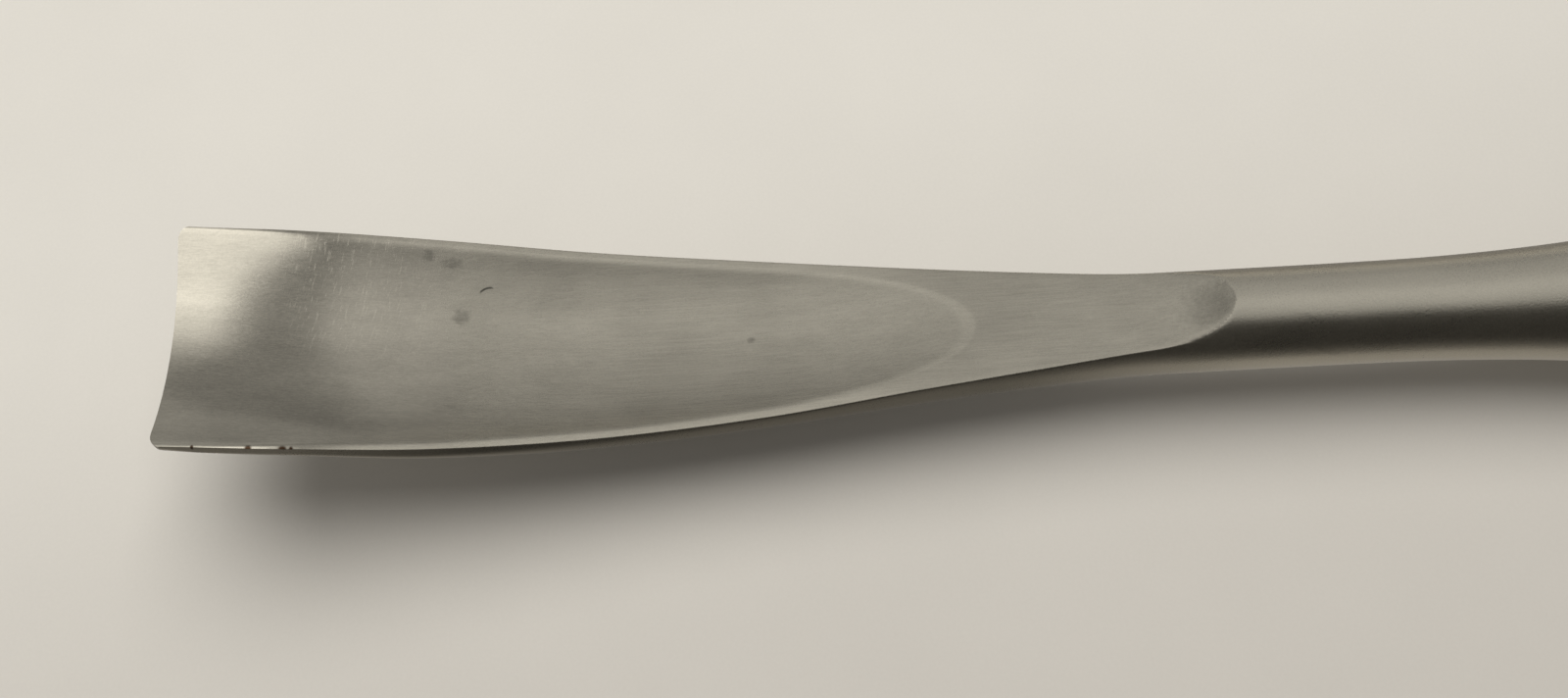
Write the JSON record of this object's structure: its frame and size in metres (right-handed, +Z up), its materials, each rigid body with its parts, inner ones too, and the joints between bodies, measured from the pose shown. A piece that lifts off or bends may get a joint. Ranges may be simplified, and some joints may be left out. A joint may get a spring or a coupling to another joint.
{
  "type": "gouge-bladed filling knife",
  "caption": "Stainless hand tool with a long scooped, gently upturned blade, round neck and eight-sided tubular grip, for scraping out and pressing in filler.",
  "frame": {"origin": "midway along the tool's length, on the surface that it lies on, under the centre line of the grip", "axes": "+X runs along the tool from the cutting edge towards the strike cap, +Z is up with the scoop open upwards, +Y is to the side"},
  "size_m": [0.224, 0.0192, 0.015],
  "materials": {
    "forged_steel": "satin ground scoop and flat, bead-blasted neck and bolster",
    "grip_steel": "bead-blasted flats with fine brushing",
    "cap_steel": "turned and satin polished",
    "fastener_steel": "bright turned",
    "gasket_fibre": "black vulcanised fibre",
    "seal_rubber": "black nitrile",
    "sleeve_polymer": "turned natural acetal"
  },
  "bodies": {
    "root": {"blade_forging": "forged_steel", "grip_shell": "grip_steel", "rear_plug": "grip_steel", "strike_cap": "cap_steel", "front_gasket": "gasket_fibre", "rear_gasket": "gasket_fibre", "front_seal_ring": "seal_rubber", "rear_seal_ring": "seal_rubber", "front_index_pin": "fastener_steel", "rear_index_pin": "fastener_steel", "flat_washer": "fastener_steel", "spring_washer": "fastener_steel", "tang_nut": "fastener_steel", "hanging_eyelet": "fastener_steel", "core_sleeve_front": "sleeve_polymer", "core_sleeve_rear": "sleeve_polymer"}
  },
  "joints": []
}
